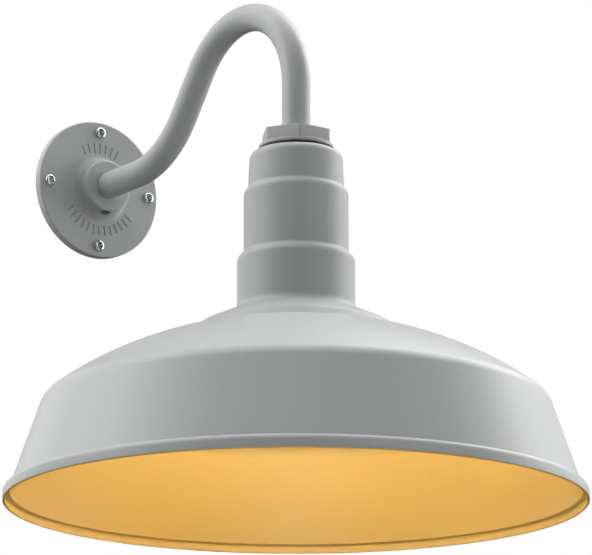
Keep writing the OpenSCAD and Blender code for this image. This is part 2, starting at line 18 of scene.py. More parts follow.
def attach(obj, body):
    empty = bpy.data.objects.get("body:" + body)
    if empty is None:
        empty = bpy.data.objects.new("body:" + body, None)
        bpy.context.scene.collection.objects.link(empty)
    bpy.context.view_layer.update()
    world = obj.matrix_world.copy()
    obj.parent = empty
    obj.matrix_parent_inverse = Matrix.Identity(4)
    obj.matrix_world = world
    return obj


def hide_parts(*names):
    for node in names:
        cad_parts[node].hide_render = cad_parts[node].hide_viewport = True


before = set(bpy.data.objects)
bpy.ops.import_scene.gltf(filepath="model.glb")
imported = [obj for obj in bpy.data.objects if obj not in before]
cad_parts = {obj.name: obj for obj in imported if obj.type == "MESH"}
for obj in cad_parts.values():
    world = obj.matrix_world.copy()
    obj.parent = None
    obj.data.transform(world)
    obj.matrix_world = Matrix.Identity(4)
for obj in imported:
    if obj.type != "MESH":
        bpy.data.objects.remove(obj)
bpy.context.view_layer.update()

MM = 0.001
LOG = logging.getLogger("wall_light")


# ---- Shader helpers ---------------------------------------------------------------------


def linear(hex_colour: str, alpha: float = 1.0) -> tuple[float, float, float, float]:
    """Turn an sRGB hex colour into the linear colour that a shader socket takes.

    Args:
        hex_colour: Six hex digits after a hash.
        alpha: Fourth channel of the result.

    Returns:
        Red, green, blue and alpha, each from 0 to 1.
    """
    parts = [int(hex_colour[i:i + 2], 16) / 255 for i in (1, 3, 5)]
    low, knee, slope, lift, power = 0.04045, 12.92, 1.055, 0.055, 2.4
    red, green, blue = (c / knee if c <= low else ((c + lift) / slope) ** power for c in parts)
    return red, green, blue, alpha


def add_node(tree: bpy.types.NodeTree, kind: str, inputs: dict[Any, Any] | None = None,
             **settings: Any) -> bpy.types.Node:
    """Add a node with its settings and its input values or links.

    Args:
        tree: Node tree that gets the node.
        kind: Node type, without its ShaderNode prefix.
        inputs: Socket name or index, to a value or to the output socket that feeds it.
        **settings: Properties of the node itself.

    Returns:
        The new node.
    """
    node = tree.nodes.new("ShaderNode" + kind)
    for name, value in settings.items():
        setattr(node, name, value)
    for name, value in (inputs or {}).items():
        if isinstance(value, bpy.types.NodeSocket):
            tree.links.new(value, node.inputs[name])
        else:
            node.inputs[name].default_value = value
    return node


# ---- Finishes ---------------------------------------------------------------------------


class Making(Enum):
    """How a surface was made, which decides the pattern that it shows."""

    COATED = "powder that flowed out to a faint orange peel"
    CAST = "sand-cast skin that shows faintly through its coat"
    SPUN = "rings of the spinning roller, softened by the enamel"
    ROLLED = "fine lines along the rolling direction"
    TURNED = "fine rings from the lathe"
    MOULDED = "moulded grain"
    GLAZED = "slow waves of the glaze with a few specks"
    BRAIDED = "crossing yarns"
    EXTRUDED = "lines along the wire"
    BLOWN = "smooth blown glass"


@dataclass(frozen=True)
class Finish:
    """A surface finish: its base shader values and the pattern that its making leaves.

    Attributes:
        name: What the material is and how its surface was made.
        making: How the surface was made.
        colour: Base colour, sRGB hex.
        shade: Second colour that the pattern drifts to, sRGB hex.
        roughness: Lowest roughness.
        drift: How much the slow pattern adds to the roughness.
        metallic: 1 for bare metal.
        coat: Weight of a clear layer on top.
        coat_roughness: Roughness of that layer.
        ior: Index of refraction of paint, plastic, glass or glaze.
        transmission: 1 for clear glass.
        grain_mm: Size of the fine pattern's cells or spacing.
        depth_mm: Height of the fine pattern's relief.
        cloud_mm: Size of the slow colour drift.
        emission: Emitted colour, sRGB hex, or an empty string.
        glow: Strength of the emission.
        centre_mm: Point that rings are centred on.
        bore: Which coordinate runs along the rings' axis or the lines: x, y or z.
    """

    name: str
    making: Making
    colour: str
    shade: str
    roughness: float = 0.4
    drift: float = 0.06
    metallic: float = 0.0
    coat: float = 0.0
    coat_roughness: float = 0.1
    ior: float = 1.5
    transmission: float = 0.0
    grain_mm: float = 1.6
    depth_mm: float = 0.02
    cloud_mm: float = 60.0
    emission: str = ""
    glow: float = 0.0
    centre_mm: tuple[float, float, float] = (0.0, 0.0, 0.0)
    bore: str = "Z"

    def material(self) -> bpy.types.Material:
        """Return this finish's material, made on its first use."""
        found = bpy.data.materials.get(self.name)
        if found is not None:
            return found
        made = bpy.data.materials.new(self.name)
        made.use_nodes = True
        tree = made.node_tree
        shader = tree.nodes["Principled BSDF"]
        constants = {
            "Base Color": linear(self.colour), "Roughness": self.roughness,
            "Metallic": self.metallic, "Coat Weight": self.coat,
            "Coat Roughness": self.coat_roughness, "Transmission Weight": self.transmission}
        if not self.metallic:
            constants["IOR"] = self.ior
        if self.emission:
            constants["Emission Color"] = linear(self.emission)
            constants["Emission Strength"] = self.glow
        for socket, value in constants.items():
            shader.inputs[socket].default_value = value
        self.add_pattern(tree, shader)
        return made

    def add_pattern(self, tree: bpy.types.NodeTree, shader: bpy.types.Node) -> None:
        """Feed the slow drift and the fine relief into colour, roughness and normal.

        Args:
            tree: Node tree to add to.
            shader: The principled shader that takes the pattern.
        """
        source = add_node(tree, "TexCoord")
        centred = add_node(tree, "Mapping", {
            "Vector": source.outputs["Object"],
            "Location": [-value * MM for value in self.centre_mm]})
        where = centred.outputs["Vector"]
        cloud = add_node(tree, "TexNoise", {
            "Vector": where, "Scale": 1 / (self.cloud_mm * MM), "Detail": 3.0})
        grain = self.add_grain(tree, where)
        cloud_share, low, high = 0.75, 0.45, 1.3
        mixed = add_node(tree, "Math", {0: cloud.outputs["Fac"], 1: cloud_share, 2: grain},
                         operation="MULTIPLY_ADD")
        tint = add_node(tree, "MapRange", {
            "Value": mixed.outputs[0], "From Min": low, "From Max": high})
        colour = add_node(tree, "Mix", {
            0: tint.outputs["Result"], 6: linear(self.colour), 7: linear(self.shade)},
            data_type="RGBA")
        tree.links.new(colour.outputs[2], shader.inputs["Base Color"])
        rough = add_node(tree, "MapRange", {
            "Value": mixed.outputs[0], "From Min": low, "From Max": high,
            "To Min": self.roughness, "To Max": self.roughness + self.drift})
        tree.links.new(rough.outputs["Result"], shader.inputs["Roughness"])
        bump = add_node(tree, "Bump", {
            "Height": grain, "Strength": 1.0, "Distance": self.depth_mm * MM})
        tree.links.new(bump.outputs["Normal"], shader.inputs["Normal"])

    def add_grain(self, tree: bpy.types.NodeTree,
                  where: bpy.types.NodeSocket) -> bpy.types.NodeSocket:
        """Add the fine pattern that this making leaves.

        Args:
            tree: Node tree to add to.
            where: Coordinates of the surface, in metres.

        Returns:
            The pattern's height, from 0 to 1.
        """
        fine = 1 / (self.grain_mm * MM)
        # A wave texture repeats 20 radians for each unit of its scale.
        wave = math.tau / 20 * fine
        match self.making:
            case Making.CAST:
                skin = add_node(tree, "TexNoise", {
                    "Vector": where, "Scale": fine, "Detail": 4.0, "Roughness": 0.6})
                pits = add_node(tree, "TexVoronoi", {
                    "Vector": where, "Scale": fine / 3, "Randomness": 1.0})
                both = add_node(tree, "Math", {
                    0: pits.outputs["Distance"], 1: 0.35, 2: skin.outputs["Fac"]},
                    operation="MULTIPLY_ADD")
                return both.outputs[0]
            case Making.SPUN | Making.TURNED:
                rings = add_node(tree, "TexWave", {
                    "Vector": where, "Scale": wave, "Distortion": 1.2, "Detail": 2.0,
                    "Detail Scale": 0.4}, wave_type="RINGS", rings_direction=self.bore)
                peel = add_node(tree, "TexNoise", {
                    "Vector": where, "Scale": fine, "Detail": 2.0})
                peel_share = 0.95 if self.making is Making.SPUN else 0.2
                both = add_node(tree, "Mix", {
                    0: peel_share,
                    2: rings.outputs["Fac"], 3: peel.outputs["Fac"]})
                return both.outputs[0]
            case Making.ROLLED | Making.EXTRUDED:
                drawn_out = 0.03
                along = [drawn_out if axis == self.bore else 1.0 for axis in "XYZ"]
                drawn = add_node(tree, "Mapping", {"Vector": where, "Scale": along})
                lines = add_node(tree, "TexNoise", {
                    "Vector": drawn.outputs["Vector"], "Scale": fine, "Detail": 4.0})
                return lines.outputs["Fac"]
            case Making.BRAIDED:
                yarns = []
                for lean in (math.radians(45), math.radians(-45)):
                    turned = add_node(tree, "Mapping", {
                        "Vector": where, "Rotation": (lean, lean, 0)})
                    yarn = add_node(tree, "TexWave", {
                        "Vector": turned.outputs["Vector"], "Scale": wave},
                        wave_type="BANDS", bands_direction="Z")
                    yarns.append(yarn.outputs["Fac"])
                both = add_node(tree, "Math", {0: yarns[0], 1: yarns[1]}, operation="MAXIMUM")
                return both.outputs[0]
            case Making.GLAZED:
                waves = add_node(tree, "TexNoise", {
                    "Vector": where, "Scale": fine / 6, "Detail": 1.0})
                specks = add_node(tree, "TexNoise", {
                    "Vector": where, "Scale": fine * 2, "Detail": 3.0})
                rare = add_node(tree, "MapRange", {
                    "Value": specks.outputs["Fac"], "From Min": 0.72, "From Max": 0.8})
                both = add_node(tree, "Math", {
                    0: rare.outputs["Result"], 1: 0.5, 2: waves.outputs["Fac"]},
                    operation="MULTIPLY_ADD")
                return both.outputs[0]
            case _:
                peel = add_node(tree, "TexNoise", {
                    "Vector": where, "Scale": fine, "Detail": 2.0})
                return peel.outputs["Fac"]


LAMP_MM = (0.0, -278.5, 0.0)

# Aluminium castings under a satin polyester powder coat: the sand-cast skin still shows
# faintly, so highlights are soft and slightly broken.
CAST_COAT = Finish("satin_grey_powder_coat_on_cast_aluminium", Making.CAST, "#A6A8A8", "#A0A2A2",
                   roughness=0.44, grain_mm=1.5, depth_mm=0.016, cloud_mm=45)
# Steel tube under the same powder: it flows out to a smooth, faint orange peel.
TUBE_COAT = Finish("satin_grey_powder_coat_on_steel_tube", Making.COATED, "#A6A8A8", "#A1A3A3",
                   roughness=0.4, grain_mm=1.9, depth_mm=0.012, cloud_mm=60)
# Spun steel under the same powder: even, with the roller's rings just readable up close.
SHEET_COAT = Finish("satin_grey_powder_coat_on_spun_steel", Making.SPUN, "#AEB0B0", "#A9ABAB",
                    roughness=0.4, grain_mm=2.2, depth_mm=0.008, cloud_mm=90,
                    centre_mm=LAMP_MM)
# Amber reflector enamel inside the spun shade: warm and semi-gloss, with the same rings.
AMBER_ENAMEL = Finish("amber_reflector_enamel_on_spun_steel", Making.SPUN, "#EDC66D", "#E8C168",
                      roughness=0.36, grain_mm=2.2, depth_mm=0.008, cloud_mm=80,
                      coat=0.25, coat_roughness=0.3, centre_mm=LAMP_MM)
# Moulded neoprene: almost black, dull, with a fine grain.
NEOPRENE = Finish("moulded_black_neoprene", Making.MOULDED, "#1B1B1C", "#262627",
                  roughness=0.68, grain_mm=0.5, depth_mm=0.03, cloud_mm=12)
# Moulded nylon 66: black, a little waxy.
NYLON = Finish("moulded_black_nylon", Making.MOULDED, "#141518", "#1D1E21", roughness=0.42,
               ior=1.53, grain_mm=0.8, depth_mm=0.01, cloud_mm=10)
# Bright zinc plate on cold-headed steel screws: almost a mirror, with fine turned rings.
BRIGHT_ZINC = Finish("bright_zinc_plated_steel_screw", Making.ROLLED, "#D9DCE0", "#C6CACF",
                     roughness=0.16, drift=0.14, metallic=1.0, grain_mm=0.5,
                     depth_mm=0.004, cloud_mm=5, bore="Y")
# Black oxide on an alloy steel set screw: dark, dry and slightly uneven.
BLACK_OXIDE = Finish("black_oxide_alloy_steel", Making.ROLLED, "#2B2B2E", "#38383A",
                     roughness=0.42, drift=0.15, metallic=1.0, grain_mm=0.4, depth_mm=0.006,
                     cloud_mm=4)
# Green lacquer that marks an earth screw, over zinc.
EARTH_GREEN = Finish("green_lacquered_steel_screw", Making.COATED, "#2C7D43", "#256B39",
                     roughness=0.3, coat=0.6, grain_mm=0.7, depth_mm=0.01,
                     cloud_mm=5)
# Zinc-plated cold-rolled strip: grey metal with rolling lines and a faint bluish cloud.
ZINC_STRIP = Finish("zinc_plated_cold_rolled_steel", Making.ROLLED, "#B4B8BE", "#A2A7AF",
                    roughness=0.3, drift=0.18, metallic=1.0, grain_mm=0.35, depth_mm=0.006,
                    cloud_mm=9, bore="X")
# Dry-pressed electrical porcelain with a clear glaze: warm white, wet gloss, a few specks.
PORCELAIN = Finish("glazed_electrical_porcelain", Making.GLAZED, "#F1EDE3", "#E4DFD2",
                   roughness=0.22, coat=1.0, coat_roughness=0.05, ior=1.52, grain_mm=1.4,
                   depth_mm=0.03, cloud_mm=14)
# Nickel plate on drawn brass: pale, slightly warm metal with drawing rings.
NICKEL_BRASS = Finish("nickel_plated_drawn_brass", Making.TURNED, "#CFC6B2", "#BDB39D",
                      roughness=0.2, drift=0.14, metallic=1.0, grain_mm=0.5, depth_mm=0.003,
                      cloud_mm=7, centre_mm=LAMP_MM)
# Plain brass strip, a little tarnished.
PLAIN_BRASS = Finish("tarnished_brass_strip", Making.ROLLED, "#C9A455", "#A9853C",
                     roughness=0.28, drift=0.2, metallic=1.0, grain_mm=0.4, depth_mm=0.005,
                     cloud_mm=4)
# Saturated glass braid over the leads: straw-coloured yarns that cross each millimetre.
GLASS_BRAID = Finish("varnished_glass_fibre_braid", Making.BRAIDED, "#C9BF9F", "#9F9474",
                     roughness=0.55, coat=0.3, coat_roughness=0.3, grain_mm=1.2,
                     depth_mm=0.15, cloud_mm=12)
# Extruded silicone insulation, black and white.
BLACK_LEAD = Finish("extruded_black_silicone_insulation", Making.EXTRUDED, "#17181A",
                    "#202124", roughness=0.46, grain_mm=0.4, depth_mm=0.01, cloud_mm=8)
WHITE_LEAD = Finish("extruded_white_silicone_insulation", Making.EXTRUDED, "#E8E6DE",
                    "#DCDACF", roughness=0.46, grain_mm=0.4, depth_mm=0.01, cloud_mm=8)
# Blown soda-lime glass with an electrostatic white powder inside: it glows all over.
OPAL_GLASS = Finish("opal_blown_glass_lit_from_inside", Making.BLOWN, "#FFF6E8", "#FBEFDC",
                    roughness=0.16, coat=0.6, coat_roughness=0.04, ior=1.52, grain_mm=9,
                    depth_mm=0.02, cloud_mm=30, emission="#FFFAF2", glow=21.0)
# Pressed black vitrite between the cap and its contact.
VITRITE = Finish("pressed_black_vitrite_glass", Making.BLOWN, "#111114", "#1A1A1F",
                 roughness=0.08, ior=1.55, grain_mm=2.5, depth_mm=0.04, cloud_mm=6)
# Tin-lead dot of solder: soft grey with a cold, slightly wrinkled skin.
SOLDER = Finish("wrinkled_tin_solder", Making.MOULDED, "#BFC1C4", "#A4A6AA", roughness=0.3,
                drift=0.2, metallic=1.0, grain_mm=0.7, depth_mm=0.05, cloud_mm=3)
# Clear lead glass of the stem.
STEM_GLASS = Finish("clear_lead_glass", Making.BLOWN, "#F2F7F5", "#EAF1EE", roughness=0.03,
                    drift=0.02, ior=1.56, transmission=1.0, grain_mm=4, depth_mm=0.03,
                    cloud_mm=8)
# Drawn tungsten and nickel wire: dark, bright along the draw lines.
TUNGSTEN = Finish("drawn_tungsten_wire", Making.EXTRUDED, "#77787A", "#5E5F61",
                  roughness=0.3, drift=0.15, metallic=1.0, grain_mm=0.2, depth_mm=0.004,
                  cloud_mm=3)


# ---- Mesh helpers -----------------------------------------------------------------------


class Outline:
    """A line in the plane x-z, drawn stroke by stroke in millimetres, then turned."""

    def __init__(self, radius: float, height: float) -> None:
        """Start the line at a radius and a height."""
        self.mesh = bmesh.new()
        self.tip = self.mesh.verts.new(Vector((radius, 0, height)) * MM)
        self.first = self.tip
        self.corners: list[tuple[bmesh.types.BMVert, float]] = []

    def line(self, radius: float, height: float, corner: float = 0.0) -> "Outline":
        """Draw a straight stroke.

        Args:
            radius: Where it ends, from the axis.
            height: Where it ends, along the axis.
            corner: Radius that rounds this end.

        Returns:
            The outline itself.
        """
        end = self.mesh.verts.new(Vector((radius, 0, height)) * MM)
        self.mesh.edges.new((self.tip, end))
        self.tip = end
        if corner:
            self.corners.append((end, corner * MM))
        return self

    def path(self, *stops: Sequence[float]) -> "Outline":
        """Draw several straight strokes, each given as for line."""
        for stop in stops:
            self.line(*stop)
        return self

    def arc(self, radius: float, height: float, bulge: float, steps: int,
            corner: float = 0.0) -> "Outline":
        """Draw an arc that stands off its straight chord.

        Args:
            radius: Where it ends, from the axis.
            height: Where it ends, along the axis.
            bulge: Height over the chord, to the left of the stroke if positive.
            steps: Number of straight pieces.
            corner: Radius that rounds this end.

        Returns:
            The outline itself.
        """
        start, end = self.tip.co.copy(), Vector((radius, 0, height)) * MM
        chord, rise = end - start, bulge * MM
        swing = (chord.length_squared / 4 + rise * rise) / (2 * rise)
        left = Vector((-chord.z, 0, chord.x)).normalized()
        turn = 2 * math.asin(chord.length / (2 * swing))
        spun = bmesh.ops.spin(
            self.mesh, geom=[self.tip], cent=(start + end) / 2 + left * (rise - swing),
            axis=(0, 1, 0), angle=turn, steps=steps)
        self.tip = next(e for e in spun["geom_last"] if isinstance(e, bmesh.types.BMVert))
        self.tip.co = end
        if corner:
            self.corners.append((self.tip, corner * MM))
        return self

    def closed(self) -> "Outline":
        """Join the end to the start."""
        self.mesh.edges.new((self.tip, self.first))
        return self

    def turned(self, steps: int = 96, pitch: float = 0.0, corner_steps: int = 6
               ) -> bmesh.types.BMesh:
        """Round the corners and turn the line once round the z axis.

        Args:
            steps: Number of steps in the turn.
            pitch: Climb in one turn, in millimetres, for a thread.
            corner_steps: Number of straight pieces in each rounded corner.

        Returns:
            The turned mesh, with its faces outwards where it is closed.
        """
        for corner, radius in self.corners:
            sides = [edge.other_vert(corner).co - corner.co for edge in corner.link_edges]
            half = sides[0].angle(sides[1]) / 2
            bmesh.ops.bevel(
                self.mesh, geom=[corner], offset=radius / math.tan(half),
                offset_type="OFFSET", segments=corner_steps, profile=0.5,
                affect="VERTICES", material=-1)
        bmesh.ops.spin(
            self.mesh, geom=self.mesh.verts[:] + self.mesh.edges[:], cent=(0, 0, 0),
            axis=(0, 0, 1), dvec=(0, 0, pitch * MM / steps), angle=math.tau, steps=steps,
            use_merge=not pitch, use_normal_flip=False, use_duplicate=False)
        tidy(self.mesh)
        return self.mesh


def tidy(mesh: bmesh.types.BMesh) -> None:
    """Merge doubled points and turn the faces outwards."""
    bmesh.ops.remove_doubles(mesh, verts=mesh.verts, dist=0.002 * MM)
    bmesh.ops.recalc_face_normals(mesh, faces=mesh.faces)


def joined(*parts: bmesh.types.BMesh) -> bmesh.types.BMesh:
    """Put several meshes into one and free the others.

    Args:
        *parts: The meshes; each keeps its place.

    Returns:
        One mesh with all of them.
    """
    whole = bmesh.new()
    for part in parts:
        carrier = bpy.data.meshes.new("carrier")
        part.to_mesh(carrier)
        part.free()
        whole.from_mesh(carrier)
        bpy.data.meshes.remove(carrier)
    return whole


def placed(part: bmesh.types.BMesh, *places: Matrix) -> bmesh.types.BMesh:
    """Copy a mesh to several places and free the original.

    Args:
        part: The mesh, at the origin.
        *places: Where each copy goes.

    Returns:
        One mesh with all the copies.
    """
    copies = []
    for place in places:
        copy = part.copy()
        bmesh.ops.transform(copy, matrix=place, verts=copy.verts)
        copies.append(copy)
    part.free()
    return joined(*copies)


def carved(body: bmesh.types.BMesh, tool: bmesh.types.BMesh) -> bmesh.types.BMesh:
    """Cut a tool out of a mesh, and free both.

    Args:
        body: The mesh that is cut.
        tool: The mesh that cuts.

    Returns:
        The cut mesh.
    """
    objects = []
    for name, part in (("carved_body", body), ("carving_tool", tool)):
        mesh = bpy.data.meshes.new(name)
        part.to_mesh(mesh)
        part.free()
        obj = bpy.data.objects.new(name, mesh)
        bpy.context.scene.collection.objects.link(obj)
        objects.append(obj)
    cut = objects[0].modifiers.new("cut", "BOOLEAN")
    cut.operation, cut.object, cut.solver = "DIFFERENCE", objects[1], "EXACT"
    shaped = bpy.data.meshes.new_from_object(
        objects[0].evaluated_get(bpy.context.evaluated_depsgraph_get()))
    result = bmesh.new()
    result.from_mesh(shaped)
    for obj in objects:
        mesh = obj.data
        bpy.data.objects.remove(obj)
        bpy.data.meshes.remove(mesh)
    bpy.data.meshes.remove(shaped)
    return result


def add_piece(name: str, mesh: bmesh.types.BMesh, body: str, slot: str, nodes: Sequence[str],
              *finishes: Finish, crease: float = 32.0) -> bpy.types.Object:
    """Make a mesh a piece of the light that rides on a body and stands for CAD nodes.

    Args:
        name: The piece's name.
        mesh: Its mesh, in place; it is freed.
        body: Body that it rides on.
        slot: Name of the record's material slot for this piece; not used.
        nodes: CAD nodes that it stands for.
        *finishes: Its finishes, in the order of the faces' material numbers.
        crease: Angle in degrees over which an edge stays sharp.

    Returns:
        The new object.
    """
    for face in mesh.faces:
        face.smooth = True
    for edge in mesh.edges:
        edge.smooth = not edge.is_manifold or edge.calc_face_angle(0.0) < math.radians(crease)
    data = bpy.data.meshes.new(name)
    mesh.to_mesh(data)
    mesh.free()
    obj = bpy.data.objects.new(name, data)
    bpy.context.scene.collection.objects.link(obj)
    for finish in finishes:
        data.materials.append(finish.material())
    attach(obj, body)
    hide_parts(*nodes)
    LOG.info("%s: %d faces on %s", name, len(data.polygons), body)
    return obj


def dress(finish: Finish, *nodes: str) -> None:
    """Give CAD nodes whose shape stays a finish in every material slot."""
    for node in nodes:
        for slot in bpy.data.objects[node].material_slots:
            slot.material = finish.material()
        LOG.info("%s: CAD shape, %s", node, finish.name)


def on_lamp(height: float = 0.0, x: float = 0.0, y: float = 0.0) -> Matrix:
    """Return the place over the lamp's axis at a height, in millimetres."""
    return Matrix.Translation(Vector((LAMP_MM[0] + x, LAMP_MM[1] + y, height)) * MM)


def off_wall(depth: float = 0.0, x: float = 0.0, z: float = 0.0) -> Matrix:
    """Return the place on the wall whose own z axis points into the room."""
    spot = Matrix.Translation(Vector((x, -depth, z)) * MM)
    return spot @ Matrix.Rotation(math.radians(90), 4, "X")


@dataclass(frozen=True)
class PanScrew:
    """A pan-head screw with a cross recess; its head stands on z = 0.

    Attributes:
        head_r: Radius of the head.
        head_h: Height of the head.
        shank_r: Radius of the plain shank.
        plain: Length of the plain shank.
        thread_r: Outer radius of the thread.
        length: Length of shank and thread under the head.
        pitch: Distance from thread to thread.
    """

    head_r: float
    head_h: float
    shank_r: float
    plain: float
    thread_r: float
    length: float
    pitch: float

    def mesh(self) -> bmesh.types.BMesh:
        """Build the screw.

        Returns:
            One mesh with the head, the shank and the thread.
        """
        head = Outline(0, -0.4 * self.head_h).path(
            (self.shank_r * 0.9, -0.4 * self.head_h), (self.shank_r * 0.9, 0),
            (self.head_r, 0, 0.12 * self.head_h), (self.head_r, self.head_h, 0.66 * self.head_h),
            (0, self.head_h)).turned(48)
        for turn in (0, 90):
            head = carved(head, self.recess(turn))
        screw = [head]
        if self.plain:
            screw.append(Outline(0, 0).path(
                (self.shank_r, 0), (self.shank_r, -self.plain), (0, -self.plain)).turned(32))
        screw.append(self.thread())
        return joined(*screw)

    def recess(self, turn: float) -> bmesh.types.BMesh:
        """Build one wing of the tool that cuts the cross recess.

        Args:
            turn: Angle of the wing round the screw's axis, in degrees.

        Returns:
            The wing, tapered like a driver's tip.
        """
        wing = bmesh.new()
        bmesh.ops.create_cube(wing, size=1.0)
        bmesh.ops.scale(wing, verts=wing.verts, vec=Vector(
            (1.16 * self.head_r, 0.21 * self.head_r, 1.2 * self.head_h)) * MM)
        foot = [vert for vert in wing.verts if vert.co.z < 0]
        bmesh.ops.scale(wing, verts=foot, vec=(0.42, 0.7, 1.0))
        bmesh.ops.translate(wing, verts=wing.verts, vec=(0, 0, 1.04 * self.head_h * MM))
        bmesh.ops.rotate(wing, verts=wing.verts, cent=(0, 0, 0),
                         matrix=Matrix.Rotation(math.radians(turn), 3, "Z"))
        return wing

    def thread(self) -> bmesh.types.BMesh:
        """Build the threaded end as one closed helix."""
        root = self.thread_r - 0.54 * self.pitch
        flat, slope = 0.12 * self.pitch, 0.38 * self.pitch
        turns = int((self.length - self.plain) / self.pitch) - 1
        start = -self.length + (self.length - self.plain) % self.pitch
        line = Outline(root, start)
        for turn in range(turns):
            foot = start + turn * self.pitch
            line.path((root, foot + flat / 2), (self.thread_r, foot + flat / 2 + slope),
                      (self.thread_r, foot + 1.5 * flat + slope), (root, foot + self.pitch))
        helix = line.turned(24, pitch=self.pitch)
        close_ends(helix)
        core = Outline(0, -self.length).path(
            (root - 0.25, -self.length), (root, -self.length + 0.25), (root, -self.plain),
            (0, -self.plain)).turned(24)
        return joined(helix, core)


def close_ends(mesh: bmesh.types.BMesh) -> None:
    """Fill the open ends of a mesh and turn its faces outwards."""
    rim = [edge for edge in mesh.edges if edge.is_boundary]
    bmesh.ops.holes_fill(mesh, edges=rim, sides=0)
    bmesh.ops.recalc_face_normals(mesh, faces=mesh.faces)


# ---- Sub-assemblies ---------------------------------------------------------------------


@dataclass
class WallMount:
    """The cast wall plate with its gasket and screws, held by the wall."""

    body: str = "wall_mount"
    plate_t: float = 7.0
    screw_pcd_r: float = 47.5
    recess_turn: float = 20.0
    recess_floor: float = 4.0
    earth_r: float = 31.0
    earth_angle: float = 135.0
    plate_screw: PanScrew = PanScrew(head_r=4.6, head_h=2.9, shank_r=2.0, plain=7.0,
                                     thread_r=2.4, length=15.8, pitch=0.9)
    earth_screw: PanScrew = PanScrew(head_r=4.0, head_h=2.2, shank_r=1.6, plain=0.0,
                                     thread_r=2.0, length=1.95, pitch=0.45)

    def build(self) -> None:
        """Build the screws and dress the plate, the gasket and the set screw."""
        places = []
        for quarter in range(4):
            angle = math.radians(90 * quarter)
            spot = off_wall(self.plate_t, x=self.screw_pcd_r * math.cos(angle),
                            z=self.screw_pcd_r * math.sin(angle))
            places.append(spot @ Matrix.Rotation(math.radians(self.recess_turn), 4, "Z"))
        add_piece("wall_plate_screws", placed(self.plate_screw.mesh(), *places), self.body,
                  "zinc_screws", ["plate_screws"], BRIGHT_ZINC)
        angle = math.radians(self.earth_angle)
        spot = off_wall(self.recess_floor, x=self.earth_r * math.cos(angle),
                        z=self.earth_r * math.sin(angle))
        add_piece("earth_screw", placed(
            self.earth_screw.mesh(), spot @ Matrix.Rotation(math.pi, 4, "X")),
            self.body, "green_screw", ["ground_screw"], EARTH_GREEN)
        dress(CAST_COAT, "wall_plate")
        dress(NEOPRENE, "wall_gasket")
        dress(BLACK_OXIDE, "hub_set_screw")


